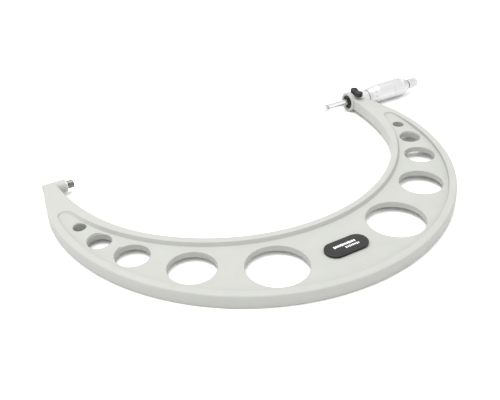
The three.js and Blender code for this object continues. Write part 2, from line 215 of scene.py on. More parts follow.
def turn_upright(profile, x, y, steps):
    """A profile of (z, radius) turned about a line along Z."""
    bm = turn(profile, steps)
    # the turned solid's X becomes Z
    bm.transform(Matrix.Translation((x, y, 0)) @ Matrix.Rotation(-math.pi / 2, 4, "Y"))
    return bm


def as_object(name, bm):
    mesh = bpy.data.meshes.new(name)
    bm.to_mesh(mesh)
    bm.free()
    mesh.transform(Matrix.Scale(MM, 4))
    obj = bpy.data.objects.new(name, mesh)
    bpy.context.scene.collection.objects.link(obj)
    return obj


def bake(obj):
    """Replaces an object's mesh by what its modifiers make of it."""
    bpy.context.view_layer.update()
    graph = bpy.context.evaluated_depsgraph_get()
    mesh = bpy.data.meshes.new_from_object(obj.evaluated_get(graph))
    obj.modifiers.clear()
    obj.data = mesh


def combine(obj, tool, operation):
    """Joins or cuts obj with a bmesh."""
    cutter = as_object(obj.name + "_tool", tool)
    boolean = obj.modifiers.new("combine", "BOOLEAN")
    boolean.operation = operation
    boolean.solver = "EXACT"
    boolean.object = cutter
    bake(obj)
    bpy.data.objects.remove(cutter)


def smooth(obj, angle):
    """Smooth shading with sharp creases kept and flat faces kept flat."""
    for polygon in obj.data.polygons:
        polygon.use_smooth = True
    obj.data.set_sharp_from_angle(angle=math.radians(angle))
    weighted = obj.modifiers.new("weighted", "WEIGHTED_NORMAL")
    weighted.keep_sharp = True
    weighted.weight = 100
    bake(obj)


def piece(name, bm, material, body, *nodes, slot=None, angle=32.0):
    """A finished piece that stands for CAD nodes and rides on a body, if it is given one."""
    obj = as_object(name, bm) if isinstance(bm, bmesh.types.BMesh) else bm
    obj.name = name
    smooth(obj, angle)
    dress(obj, material)
    if body:
        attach(obj, body)
    if nodes:
        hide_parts(*nodes)
    return obj


def dress(obj, material):
    obj.data.materials.clear()
    obj.data.materials.append(material)


def add_prism(bm, low, top):
    """Adds a closed prism between two rings of equally many points."""
    low = [bm.verts.new(p) for p in low]
    top = [bm.verts.new(p) for p in top]
    bm.faces.new(low[::-1])
    bm.faces.new(top)
    for i in range(len(low)):
        j = (i + 1) % len(low)
        bm.faces.new((low[i], low[j], top[j], top[i]))


def box(middle, size, place=None):
    """A box, moved by place if it is given."""
    bm = bmesh.new()
    bmesh.ops.create_cube(bm, size=1.0)
    bm.transform(Matrix.Translation(middle) @ Matrix.Diagonal((*size, 1)))
    if place:
        bm.transform(place)
    return bm


def merged(*parts):
    """Several bmeshes as one."""
    whole = bmesh.new()
    for part in parts:
        mesh = bpy.data.meshes.new("part")
        part.to_mesh(mesh)
        part.free()
        whole.from_mesh(mesh)
        bpy.data.meshes.remove(mesh)
    return whole


# ---- casting ----


def leg_curve(side):
    """The control point of a leg's inner curve, and where that curve meets the throat's arc."""
    end_x = INNER_EDGE["x"] + side * INNER_EDGE["r"] * math.cos(THROAT["angle"])
    end_y = INNER_EDGE["y"] - INNER_EDGE["r"] * math.sin(THROAT["angle"])
    bend_x = side * (LEG_INNER_X - THROAT["lean"])
    return (bend_x, end_y + side * (bend_x - end_x) / math.tan(THROAT["angle"])), (end_x, end_y)


def bow_outline():
    """Plan of the bow, counter-clockwise, about the plane of symmetry of its outside."""
    shoulder = math.asin((LEG_SHOULDER_Y - OUTER_EDGE["y"]) / OUTER_EDGE["r"])
    shoulder_x = OUTER_EDGE["r"] * math.cos(shoulder)
    bend_x = LEG_OUTER_X + LEG_BULGE["out"]
    bend_y = LEG_SHOULDER_Y + LEG_BULGE["up"]
    start = THROAT["start"]
    right_bend, right_end = leg_curve(1)
    left_bend, left_end = leg_curve(-1)
    throat = (INNER_EDGE["x"], INNER_EDGE["y"])
    points = [(LEG_OUTER_X, 0)]
    points += segment((LEG_OUTER_X - LEG_END, LEG_END), (LEG_INNER_X, LEG_END), 5)
    points += segment((LEG_INNER_X, LEG_END), (LEG_INNER_X, start), 5)
    points += bezier((LEG_INNER_X, start), right_bend, right_end, 40)
    points += arc(throat, INNER_EDGE["r"], -THROAT["angle"], THROAT["angle"] - math.pi)
    points += bezier(left_end, left_bend, (-LEG_INNER_X, start), 40)
    points += segment((-LEG_INNER_X, start), (-LEG_INNER_X, LEG_END), 5)
    points += segment((-LEG_INNER_X, LEG_END), (LEG_END - LEG_OUTER_X, LEG_END), 5)
    points += bezier((-LEG_OUTER_X, 0), (-bend_x, bend_y), (-shoulder_x, LEG_SHOULDER_Y), 20)
    points += arc((0, OUTER_EDGE["y"]), OUTER_EDGE["r"], math.pi - shoulder, 2 * math.pi + shoulder)
    points += bezier((shoulder_x, LEG_SHOULDER_Y), (bend_x, bend_y), (LEG_OUTER_X, 0), 20)
    return points


QUARTER_STEPS = 5


def quarter(r):
    """(inset, drop) pairs down a quarter round of radius r."""
    angles = [math.pi / 2 * i / QUARTER_STEPS for i in range(QUARTER_STEPS + 1)]
    return [(r * (1 - math.sin(a)), r * (1 - math.cos(a))) for a in angles]


def make_bow():
    outline = bow_outline()
    upper = [(d, HALF - drop) for d, drop in quarter(EDGE_R)]
    section = upper + [(-DRAFT * 0.75, HALF / 3), (-DRAFT, 0), (-DRAFT * 0.75, -HALF / 3)]
    section += [(d, -z) for d, z in reversed(upper)]
    rings = [[(BOW_X + x, y, z) for x, y in inset(outline, d)] for d, z in section]
    return loft(rings)


def recess_outline(grow_in, grow_out):
    """Plan of the recess, its inner wall made larger by grow_in and its outer wall by grow_out."""
    inner_r = INNER_WALL["r"] - grow_in
    outer_r = OUTER_WALL["r"] + grow_out
    end_r = RECESS_END_R + (grow_in + grow_out) / 2
    outer_centre = Vector((0, OUTER_WALL["y"]))
    inner_centre = Vector((INNER_WALL["x"], INNER_WALL["y"]))
    way = inner_centre - outer_centre
    gap = way.length
    way.normalize()
    along = ((outer_r - end_r) ** 2 - (inner_r + end_r) ** 2 + gap**2) / (2 * gap)
    across = math.sqrt((outer_r - end_r) ** 2 - along**2)
    right = outer_centre + along * way + across * Vector((way.y, -way.x))
    left = outer_centre + along * way - across * Vector((way.y, -way.x))

    def seen(point, centre):
        return math.atan2(point.y - centre.y, point.x - centre.x)

    right_in, left_in = seen(right, inner_centre), seen(left, inner_centre)
    right_out, left_out = seen(right, outer_centre), seen(left, outer_centre) % (2 * math.pi)
    # every plan gets the same number of points
    points = steps_arc(inner_centre, inner_r, right_in, left_in, 160)
    points += steps_arc(left, end_r, left_in + math.pi, left_out, 14)
    points += steps_arc(outer_centre, outer_r, left_out, 2 * math.pi + right_out, 220)
    points += steps_arc(right, end_r, right_out, math.pi + right_in, 14)
    return points


def steps_arc(centre, r, start, end, count):
    """An arc of count points."""
    return arc(centre, r, start, end, abs(end - start) * r / count)


def recess_depth(y):
    """Depth of the recess below the rims, which gets less up the legs."""
    share = (y - RUN_OUT["from"]) / (RUN_OUT["to"] - RUN_OUT["from"])
    return RECESS_DEPTH + min(1.0, max(0.0, share)) * (RUN_OUT["depth"] - RECESS_DEPTH)


def make_recess(side):
    """Cutter for one recess. side is 1 for the front and -1 for the back.

    A point of its section is (growth of the plan, level, 1 if low and 0 if not). Low levels are
    measured up from the floor, and the others from the middle of the casting.
    """
    section = [(-out, rise, 1) for out, rise in quarter(FLOOR_FILLET)]
    section += [(WALL_EDGE_R * (1 - math.cos(t)), HALF - WALL_EDGE_R * (1 - math.sin(t)), 0)
                for t in (math.radians(16 * i) for i in range(6))]
    # the cutter leaves the casting well clear of the rounded edge, as near-touching faces spoil
    # the cut
    clear = section[-1][0] + 0.4
    section += [(clear, HALF + 0.15, 0), (clear, HALF + 1.5, 0)]
    rings = []
    for grow, level, low in section:
        ring = []
        for x, y in recess_outline(grow - low * INNER_DRAFT, grow - low * OUTER_DRAFT):
            depth = recess_depth(y)
            z = HALF - depth + level * depth / RECESS_DEPTH if low else level
            ring.append((BOW_X + x, y, side * z))
        rings.append(ring)
    return loft(rings)


def make_hole(x, y, r):
    """Cutter for a lightening hole with rounded edges."""
    web = HALF - recess_depth(y)
    edge = HOLE_EDGE_R * min(1.0, r / 10)  # sharper on the small holes
    lip = [(web - edge * (1 - math.sin(t)), r + edge * (1 - math.cos(t)))
           for t in (math.radians(20 * i) for i in range(5))]
    lip.append((web + 0.12, lip[-1][1] + 0.2))
    lip.append((HALF + 1, lip[-1][1]))
    lower = [(-z, radius) for z, radius in reversed(lip)]
    profile = [(-HALF - 1, 0)] + lower + lip + [(HALF + 1, 0)]
    bm = turn_upright(profile, HOLES_X + x, y, 4 * round(r + 14))
    for v in bm.verts:
        # the lip follows the floor where the recess runs out
        v.co.z += math.copysign(HALF - recess_depth(v.co.y) - web, v.co.z)
    return bm


def round_bar(low, high, r, low_edge, high_edge):
    """A round bar along the measuring axis with rounded ends."""
    return turn(soften([(low, 0, 0), (low, r, low_edge), (high, r, high_edge), (high, 0, 0)]))


def make_block():
    """The block that holds the anvil."""
    return round_bar(BLOCK_FROM, BLOCK_TO, HALF, 1.2, 0.8)


def make_boss():
    """The boss that carries the spindle, with its flange."""
    return turn(soften([
        (BOSS_FROM, 0, 0),
        (BOSS_FROM, FLANGE_R, 1.1),
        (FLANGE_TO, FLANGE_R, 0.9),
        (FLANGE_TO, BOSS_R, 1.1),
        (BOSS_TO, BOSS_R, 0.7),
        (BOSS_TO, 0, 0),
    ]))


COVE_R = 3.2
COVE_STEPS = 8


def make_boss_cove(side):
    """The hollow fillet where the leg's flat face meets the round boss."""
    centre_z = HALF + COVE_R
    centre_y = -math.sqrt((BOSS_R + COVE_R) ** 2 - centre_z**2)
    share = BOSS_R / (BOSS_R + COVE_R)
    start = -math.pi / 2
    end = math.atan2(centre_z * (share - 1), centre_y * (share - 1))
    angles = [start + (end - start) * i / COVE_STEPS for i in range(COVE_STEPS + 1)]
    points = [(centre_y + COVE_R * math.cos(a), centre_z + COVE_R * math.sin(a)) for a in angles]
    # the fillet's ends are sunk into its neighbours
    points[0] = (points[0][0], HALF - 0.02)
    points += [(centre_y * share + 1.0, HALF - 1.5), (centre_y, HALF - 1.5)]
    ends = (BOSS_FROM + 1.5, BOSS_TO - 0.9)
    return loft([[(x, y, side * z) for y, z in points] for x in ends])


LOCK_X = sum(v.x for v in span("lock_screw")) / 2
LOCK_SEAT = span("lever_washer")[0].z - JOINT_GAP  # level of the spot face under the lever
LOCK_BORE_R = 1.65
SPOT_FACE_R = 3.65
STEM_BORE_R = 5.0
COUNTERBORE_R = 6.6
COUNTERBORE_TO = 281.0
ANVIL_BORE_R = span("anvil")[1].y + JOINT_GAP
KNOCKOUT_R = 2.8


def make_anvil_bore():
    """The anvil's seat, with a smaller hole through to the outer end."""
    low, high = BLOCK_FROM, BLOCK_TO
    return turn([
        (low - 2, 0),
        (low - 2, KNOCKOUT_R),
        (ANVIL_SEAT, KNOCKOUT_R),
        (ANVIL_SEAT, ANVIL_BORE_R),
        (high - 0.35, ANVIL_BORE_R),
        (high + 0.05, ANVIL_BORE_R + 0.4),
        (high + 1, ANVIL_BORE_R + 0.4),
        (high + 1, 0),
    ])


def make_stem_bore():
    """The stem's bore, with a counterbore for the seal."""
    low, high = BOSS_FROM, BOSS_TO
    return turn([
        (low - 1, 0),
        (low - 1, COUNTERBORE_R + 0.5),
        (low - 0.05, COUNTERBORE_R + 0.5),
        (low + 0.5, COUNTERBORE_R),
        (COUNTERBORE_TO, COUNTERBORE_R),
        (COUNTERBORE_TO, STEM_BORE_R),
        (high + 1, STEM_BORE_R),
        (high + 1, 0),
    ])


def make_lock_bore():
    """The lock screw's bore and the spot face under the lever."""
    return turn_upright([
        (0, 0),
        (0, LOCK_BORE_R),
        (LOCK_SEAT, LOCK_BORE_R),
        (LOCK_SEAT, SPOT_FACE_R),
        (LOCK_SEAT + 1, SPOT_FACE_R),
        (LOCK_SEAT + 1, 0),
    ], LOCK_X, 0, ROUND // 2)


def make_frame():
    casting = as_object("frame_casting", make_bow())
    combine(casting, make_block(), "UNION")
    combine(casting, make_boss(), "UNION")
    for side in (1, -1):
        combine(casting, make_boss_cove(side), "UNION")
    for side in (1, -1):
        combine(casting, make_recess(side), "DIFFERENCE")
    holes = [make_hole(side * x, y, r) for x, y, r in HOLES for side in (1, -1)]
    combine(casting, merged(*holes), "DIFFERENCE")
    combine(casting, merged(make_anvil_bore(), make_stem_bore()), "DIFFERENCE")
    combine(casting, make_lock_bore(), "DIFFERENCE")
    return casting


# ---- materials ----


class Finish:
    """A procedural material. Coordinates are the part frame's, in metres."""

    def __init__(self, name, colour, roughness, metallic, **extra):
        self.material = bpy.data.materials.new(name)
        self.material.use_nodes = True
        self.tree = self.material.node_tree
        self.shader = self.tree.nodes["Principled BSDF"]
        self.shader.inputs["Base Color"].default_value = (*colour, 1)
        self.shader.inputs["Roughness"].default_value = roughness
        self.shader.inputs["Metallic"].default_value = metallic
        for key, value in extra.items():
            self.shader.inputs[key.replace("_", " ")].default_value = value
        self.place = self.node("ShaderNodeTexCoord").outputs["Object"]

    def node(self, kind, **inputs):
        made = self.tree.nodes.new(kind)
        for key, value in inputs.items():
            self.feed(made.inputs[key.replace("_", " ")], value)
        return made

    def feed(self, socket, value):
        if isinstance(value, bpy.types.NodeSocket):
            self.tree.links.new(value, socket)
        else:
            socket.default_value = value

    def math(self, operation, *values):
        made = self.tree.nodes.new("ShaderNodeMath")
        made.operation = operation
        for socket, value in zip(made.inputs, values):
            self.feed(socket, value)
        return made.outputs[0]

    def noise(self, size, stretch=(1, 1, 1), *, detail):
        """Noise whose features are about size mm across, scaled along each axis by stretch."""
        mapping = self.node("ShaderNodeMapping", Vector=self.place)
        mapping.inputs["Scale"].default_value = [1 / (size * MM * s) for s in stretch]
        made = self.node("ShaderNodeTexNoise", Vector=mapping.outputs[0])
        made.inputs["Scale"].default_value = 1.0
        made.inputs["Detail"].default_value = detail
        made.inputs["Roughness"].default_value = 0.6
        return made.outputs["Fac"]

    def spread(self, value, low, high):
        """Maps 0.3 to 0.7 of a noise onto low to high."""
        made = self.node("ShaderNodeMapRange", Value=value)
        made.inputs["From Min"].default_value = 0.3
        made.inputs["From Max"].default_value = 0.7
        made.inputs["To Min"].default_value = low
        made.inputs["To Max"].default_value = high
        return made.outputs[0]

    def colours(self, value, low, high):
        made = self.tree.nodes.new("ShaderNodeMix")
        made.data_type = "RGBA"
        self.feed(made.inputs["Factor"], value)
        self.feed(made.inputs[6], (*low, 1) if isinstance(low, tuple) else low)
        self.feed(made.inputs[7], (*high, 1) if isinstance(high, tuple) else high)
        return made.outputs[2]

    def bump(self, height, depth, normal=None):
        """A normal for a surface raised by depth mm where height is 1."""
        made = self.node("ShaderNodeBump", Height=height)
        made.inputs["Distance"].default_value = depth * MM
        made.inputs["Strength"].default_value = 1.0
        if normal:
            self.feed(made.inputs["Normal"], normal)
        return made.outputs[0]

    def set(self, **sockets):
        for key, value in sockets.items():
            self.feed(self.shader.inputs[key.replace("_", " ")], value)
        return self.material


def paint():
    """Fine textured light grey paint on a casting."""
    f = Finish("frame_paint", (0.29, 0.293, 0.276), 0.55, 0.0, Specular_IOR_Level=0.2)
    grain = f.noise(0.9, detail=4)
    cloud = f.noise(14, detail=2)
    fleck = f.noise(0.35, detail=1)
    base = f.colours(f.spread(cloud, 0, 1), (0.277, 0.281, 0.263), (0.293, 0.296, 0.279))
    speckled = f.colours(f.spread(fleck, 0, 0.35), base, (0.325, 0.327, 0.31))
    rough = f.math("ADD", f.spread(grain, 0.48, 0.62), f.spread(cloud, -0.03, 0.03))
    normal = f.bump(grain, 0.04, f.bump(fleck, 0.012))
    return f.set(Base_Color=speckled, Roughness=rough, Normal=normal)


def turned_metal(name, colour, roughness, line, depth, dark=0.82, streak=0.1):
    """Metal finished in a lathe, with fine lines round the axis and a faint bloom.

    The lines are about line mm apart and depth mm deep.
    """
    f = Finish(name, colour, roughness, 1.0)
    lines = f.noise(line, (1, 60, 60), detail=2)
    bloom = f.noise(5, detail=3)
    shade = tuple(c * dark for c in colour)
    tint = f.colours(f.spread(lines, 0, 1), shade, colour)
    rough = f.math("ADD", f.spread(lines, roughness - streak / 2, roughness + streak / 2),
                   f.spread(bloom, -0.03, 0.05))
    return f.set(Base_Color=tint, Roughness=rough, Normal=f.bump(lines, depth))


def carbide(name, shade):
    """Lapped sintered carbide, close-grained and darker than the steel. shade sets the base tone;
    the script's two copies of it differ only by painted light and shade.
    """
    f = Finish(name, (shade, shade, shade), 0.2, 1.0)
    grain = f.noise(0.08, detail=2)
    cloud = f.noise(1.6, detail=3)
    low, high = 0.75 * shade, 1.25 * shade
    tint = f.colours(f.spread(cloud, 0, 1), (low, low, low), (high, high, high))
    rough = f.spread(grain, 0.14, 0.28)
    return f.set(Base_Color=tint, Roughness=rough, Normal=f.bump(grain, 0.002))


def gloss_black(name, roughness, grain_size, shine):
    """Moulded or lacquered black with faint haze and handling marks."""
    f = Finish(name, (0.008, 0.008, 0.008), roughness, 0.0, Specular_IOR_Level=shine)
    haze = f.noise(6, detail=4)
    grain = f.noise(grain_size, detail=3)
    tint = f.colours(f.spread(haze, 0, 1), (0.006, 0.006, 0.006), (0.01, 0.01, 0.01))
    rough = f.math("ADD", f.spread(haze, roughness - 0.03, roughness + 0.05),
                   f.spread(grain, 0, 0.04))
    return f.set(Base_Color=tint, Roughness=rough, Normal=f.bump(grain, 0.004))


def brass():
    f = Finish("brass", (0.66, 0.47, 0.2), 0.3, 1.0)
    tarnish = f.noise(1.2, detail=4)
    tint = f.colours(f.spread(tarnish, 0, 1), (0.42, 0.3, 0.13), (0.7, 0.51, 0.23))
    rough = f.spread(tarnish, 0.22, 0.42)
    return f.set(Base_Color=tint, Roughness=rough, Normal=f.bump(tarnish, 0.004))


def ink(name, colour):
    """Paint filled into the graduations, with a slightly broken edge."""
    f = Finish(name, colour, 0.5, 0.0)
    grain = f.noise(0.12, detail=2)
    worn = tuple(0.75 * c + 0.06 for c in colour)
    tint = f.colours(f.spread(grain, 0, 1), colour, worn)
    return f.set(Base_Color=tint, Roughness=f.spread(grain, 0.4, 0.62), Normal=f.bump(grain, 0.003))


def floor_paper():
    f = Finish("floor_paper", (0.88, 0.88, 0.88), 0.9, 0.0, Specular_IOR_Level=0.0)
    fibre = f.noise(2.5, detail=3)
    tint = f.colours(f.spread(fibre, 0, 1), (0.87, 0.87, 0.87), (0.89, 0.89, 0.89))
    return f.set(Base_Color=tint)


PAINT = paint()
GROUND = turned_metal("ground_steel", (0.64, 0.645, 0.65), 0.09, line=0.03, depth=0.0006,
                      dark=0.9, streak=0.05)
CHROME = turned_metal("satin_chrome", (0.5, 0.5, 0.5), 0.5, line=0.06, depth=0.0012,
                      dark=0.95)
TURNED = turned_metal("plain_steel", (0.55, 0.56, 0.57), 0.32, line=0.12, depth=0.004)
# The two carbide tips are one material in two copies. The anvil's copy has a near-black base
# colour, painted shade that stands in for the dark surroundings it reflects. The spindle's copy is
# lighter, a painted reflection of the bright room.
CARBIDE_SHADED_COPY = carbide("carbide", 0.11)
CARBIDE_LIT_COPY = carbide("carbide_lit_copy", 0.42)
PLATE_BLACK = gloss_black("plate_black", 0.09, 0.5, 0.37)
LEVER_BLACK = gloss_black("lever_black", 0.3, 0.25, 0.25)
SEAL_BLACK = gloss_black("seal_black", 0.4, 0.15, 0.55)
BRASS = brass()
DIAL_INK = ink("dial_ink", (0.02, 0.02, 0.022))
PLATE_INK = ink("plate_ink", (0.8, 0.8, 0.8))


# ---- measuring axis ----

MEASURING_R = span("spindle_tip")[1].y
THREAD_FROM = 297.0
THREAD_PITCH = 0.5
THREAD_DEPTH = 0.27
THREAD_STEPS = 72  # facets round the threaded rod
TAPER_FROM = 342.0
TAPER_END_R = 3.0
STUD_BORE_R = 2.0
STUD_BORE_TO = span("ratchet_base")[0].x - 1.0


def add_anvil():
    low, high = span("anvil")
    pin = round_bar(low.x, high.x, MEASURING_R, 0.4, 0.12)
    piece("anvil_body", pin, GROUND, "frame", "anvil", slot="ground_steel")
    low, high = span("anvil_tip")
    tip = round_bar(low.x, high.x, MEASURING_R, 0.1, 0.15)
    # the anvil's tip takes the carbide copy darkened with painted shade
    piece("anvil_carbide", tip, CARBIDE_SHADED_COPY, "frame", "anvil_tip", slot="carbide")


def add_spindle():
    low, high = span("spindle_tip")
    tip = round_bar(low.x, high.x, MEASURING_R, 0.15, 0.1)
    # the spindle's tip takes the lighter carbide copy, whose tone is a painted reflection of the
    # bright room
    piece("spindle_carbide", tip, CARBIDE_LIT_COPY, "spindle_nose", "spindle_tip", slot="carbide")
    low, high = span("spindle")
    thread_r = high.y
    x = THREAD_FROM + 0.3
    profile = soften([
        (low.x, 0, 0),
        (low.x, MEASURING_R, 0.12),
        (THREAD_FROM, MEASURING_R, 0.1),
        (x, thread_r, 0),
    ])
    while x < TAPER_FROM - THREAD_PITCH:
        profile.append((x + 0.25 * THREAD_PITCH, thread_r))
        profile.append((x + 0.6 * THREAD_PITCH, thread_r - THREAD_DEPTH))
        x += THREAD_PITCH
    profile += [
        (TAPER_FROM, thread_r),
        (high.x, TAPER_END_R),
        (high.x, STUD_BORE_R),
        (STUD_BORE_TO, STUD_BORE_R),
        (STUD_BORE_TO, 0),
    ]
    rod = turn(profile, THREAD_STEPS)
    piece("spindle_rod", rod, GROUND, "spindle", "spindle", slot="ground_steel")


def add_seal():
    low, high = span("seal_ring")
    r = high.y
    lip = MEASURING_R + 0.3
    profile = soften([
        (low.x, r - 0.7, 0),
        (low.x, r, 0.15),
        (high.x, r, 0.1),
        (high.x, lip, 0.1),
        (low.x + 1.9, lip, 0.25),
        (low.x + 1.0, lip + 0.9, 0.4),
        (low.x + 1.2, r - 1.3, 0.3),
        (low.x, r - 0.7, 0),
    ])
    profile[-1] = profile[0]
    piece("seal_lip", turn(profile), SEAL_BLACK, "frame", "seal_ring", slot="black_oxide")


SLEEVE_R = span("graduated_sleeve")[1].y
SCALE_ZERO = span("thimble")[0].x
TRAVEL = 25
MARK_RISE = 0.02
MARK_SINK = 0.05
NUMERAL_HALF_DEPTH = 0.035
READING_ANGLE = math.radians(64)  # the datum line's place round the axis, from +Y towards +Z
SLEEVE_MARK = {"width": 0.12, "short": 1.45, "long": 2.0, "parts": 3}  # parts follow the curve
SLEEVE_NUMERAL = {"across": -3.1, "size": 1.9}
DATUM_LINE = {"width": 0.14, "before": 1.6, "after": 1.0}


def on_cylinder(x, across, radius, middle):
    """A point on a turned surface, across mm round from the angle called middle."""
    angle = middle + across / radius
    return (x, radius * math.cos(angle), radius * math.sin(angle))


def add_mark(bm, corners, middle, surface):
    """A thin raised patch on a turned surface. surface(x) is its radius.

    A corner is (x, distance along the surface's circumference).
    """
    low, top = [[on_cylinder(x, across, surface(x) + lift, middle) for x, across in corners]
                for lift in (-MARK_SINK, MARK_RISE)]
    add_prism(bm, low, top)


def add_line(bm, x0, x1, width, middle, surface):
    """A mark along the axis."""
    half = width / 2
    add_mark(bm, ((x0, -half), (x1, -half), (x1, half), (x0, half)), middle, surface)


def add_tick(bm, x, width, start, end, middle, surface):
    """A mark round the axis."""
    half = width / 2
    corners = ((x - half, start), (x + half, start), (x + half, end), (x - half, end))
    add_mark(bm, corners, middle, surface)


def add_numeral(bm, text, x, across, size, middle, surface):
    """Adds a number wrapped on a turned surface, its middle at x and across."""
    curve = bpy.data.curves.new("numeral", "FONT")
    curve.body = text
    curve.size = size
    curve.align_x = "CENTER"
    curve.align_y = "CENTER"
    curve.extrude = NUMERAL_HALF_DEPTH
    curve.resolution_u = 3
    holder = bpy.data.objects.new("numeral", curve)
    bpy.context.scene.collection.objects.link(holder)
    bpy.context.view_layer.update()
    graph = bpy.context.evaluated_depsgraph_get()
    mesh = bpy.data.meshes.new_from_object(holder.evaluated_get(graph))
    for v in mesh.vertices:
        along = x + v.co.x
        lift = v.co.z - NUMERAL_HALF_DEPTH + MARK_RISE
        v.co = on_cylinder(along, across - v.co.y, surface(along) + lift, middle)
    bm.from_mesh(mesh)
    bpy.data.objects.remove(holder)
    bpy.data.curves.remove(curve)
    bpy.data.meshes.remove(mesh)


def sleeve_radius(x):
    return SLEEVE_R


def add_sleeve():
    low, high = span("graduated_sleeve")
    profile = soften([
        (low.x, STEM_BORE_R, 0),
        (low.x, SLEEVE_R, 0.35),
        (high.x, SLEEVE_R, 0.3),
        (high.x, STEM_BORE_R, 0.15),
        (low.x, STEM_BORE_R, 0),
    ])
    profile[-1] = profile[0]
    piece("sleeve", turn(profile), CHROME, "frame", "graduated_sleeve", slot="satin_chrome")

    marks = bmesh.new()
    add_line(marks, SCALE_ZERO - DATUM_LINE["before"], SCALE_ZERO + TRAVEL + DATUM_LINE["after"],
             DATUM_LINE["width"], READING_ANGLE, sleeve_radius)
    for i in range(2 * TRAVEL + 1):
        # whole millimetres on one side of the datum line and halves on the other
        side = -1 if i % 2 == 0 else 1
        reach = SLEEVE_MARK["long" if i % 10 == 0 else "short"]
        ends = [side * reach * k / SLEEVE_MARK["parts"] for k in range(SLEEVE_MARK["parts"] + 1)]
        for start, end in zip(ends, ends[1:]):
            add_tick(marks, SCALE_ZERO + i / 2, SLEEVE_MARK["width"], start, end, READING_ANGLE,
                     sleeve_radius)
    for i in range(0, TRAVEL + 1, 5):
        add_numeral(marks, str(i), SCALE_ZERO + i, SLEEVE_NUMERAL["across"],
                    SLEEVE_NUMERAL["size"], READING_ANGLE, sleeve_radius)
    bmesh.ops.recalc_face_normals(marks, faces=marks.faces)
    piece("sleeve_scale", marks, DIAL_INK, "frame", angle=60)


THIMBLE_R = span("thimble")[1].y
THIMBLE_TO = span("thimble")[1].x
BEVEL_TO = 312.0
EDGE_RADIUS = 6.8
CONE_FROM = 342.2
CONE_END_R = 5.8
THIMBLE_BORE = SLEEVE_R + 0.25
THIMBLE_BORE_TO = 341.0
KNURL_FROM = 329.4
KNURL_PITCH = 0.8
KNURL_DEPTH = 0.16
KNURL_STEPS = 4  # rows of points to each pitch of the knurl
GROOVE_DEPTH = 0.2  # of the plain groove at each end of the knurl
TAPER_CLEARANCE = 0.05
TAPER_SEAT_TO = 348.0  # rear end of the conical seat for the spindle's taper
TAPER_SEAT_R = 3.75
DIVISIONS = 50
DIVISION_MARK = {"width": 0.13, "from": 0.25, "to": 2.9, "long_to": 4.2}
DIVISION_NUMERAL = {"at": 6.6, "size": 2.3}


def bevel_radius(x):
    share = (x - SCALE_ZERO) / (BEVEL_TO - SCALE_ZERO)
    return EDGE_RADIUS + (THIMBLE_R - EDGE_RADIUS) * min(1.0, max(0.0, share))


def triangle_wave(t):
    """0 at whole numbers and 1 half way between them."""
    return 1 - abs(2 * (t % 1) - 1)


def add_thimble():
    around = round(2 * math.pi * THIMBLE_R / KNURL_PITCH)
    knurl_to = CONE_FROM - 0.8
    rows = round((knurl_to - KNURL_FROM) / KNURL_PITCH)
    length = rows * KNURL_PITCH

    def relief(x, share):
        if not KNURL_FROM - 1e-6 <= x <= KNURL_FROM + length + 1e-6:
            return 0.0
        along = (x - KNURL_FROM) / KNURL_PITCH
        first = triangle_wave(around * share + along / 2)
        second = triangle_wave(around * share - along / 2)
        # the crests are flat
        return KNURL_DEPTH * (1 - min(1.0, 1.4 * min(first, second)))

    r = THIMBLE_R
    groove_r = r - GROOVE_DEPTH
    taper_r = TAPER_END_R + TAPER_CLEARANCE
    start = soften([
        (SCALE_ZERO, THIMBLE_BORE, 0),
        (SCALE_ZERO, EDGE_RADIUS, 0.12),
        (BEVEL_TO, r, 0.5),
        (KNURL_FROM - 0.5, r, 0.15),
        (KNURL_FROM - 0.35, groove_r, 0.1),
        (KNURL_FROM - 0.1, groove_r, 0),
    ])
    steps = KNURL_STEPS * rows
    knurl = [(KNURL_FROM + length * i / steps, r) for i in range(steps + 1)]
    knurl_end = knurl[-1][0]
    end = soften([
        (knurl_end + 0.1, groove_r, 0),
        (knurl_end + 0.35, groove_r, 0.1),
        (CONE_FROM, r, 0.3),
        (THIMBLE_TO, CONE_END_R, 0.35),
        (THIMBLE_TO, taper_r, 0.2),
        (TAPER_SEAT_TO, taper_r, 0),
    ])
    end += [
        (TAPER_FROM, TAPER_SEAT_R),
        (THIMBLE_BORE_TO, TAPER_SEAT_R),
        (THIMBLE_BORE_TO, THIMBLE_BORE),
    ]
    shell = turn(start + knurl + end + [start[0]], KNURL_STEPS * around, relief)
    piece("thimble_shell", shell, CHROME, "spindle", "thimble", slot="satin_chrome", angle=40)

    marks = bmesh.new()
    for i in range(DIVISIONS):
        # numbers rise as the thimble backs out, which turns it towards -angle
        middle = READING_ANGLE + 2 * math.pi * i / DIVISIONS
        numbered = i % 5 == 0
        end_x = SCALE_ZERO + DIVISION_MARK["long_to" if numbered else "to"]
        add_line(marks, SCALE_ZERO + DIVISION_MARK["from"], end_x, DIVISION_MARK["width"], middle,
                 bevel_radius)
        if numbered:
            add_numeral(marks, str(i), SCALE_ZERO + DIVISION_NUMERAL["at"], 0,
                        DIVISION_NUMERAL["size"], middle, bevel_radius)
    bmesh.ops.recalc_face_normals(marks, faces=marks.faces)
    piece("thimble_scale", marks, DIAL_INK, "spindle", angle=60)


# ---- ratchet ----

KNOB_RIBS = 44
KNOB_RIB_DEPTH = 0.2
KNOB_WALL_R = 4.3  # inside of the knob, which holds the crown and the spring
KNOB_POST_BORE_R = 1.55
KNOB_RECESS_R = 2.6  # holds the head of the cap screw
CAP_SHANK_R = 0.75
CAP_HEAD = {"r": 2.4, "height": 1.3, "slot": 0.6}


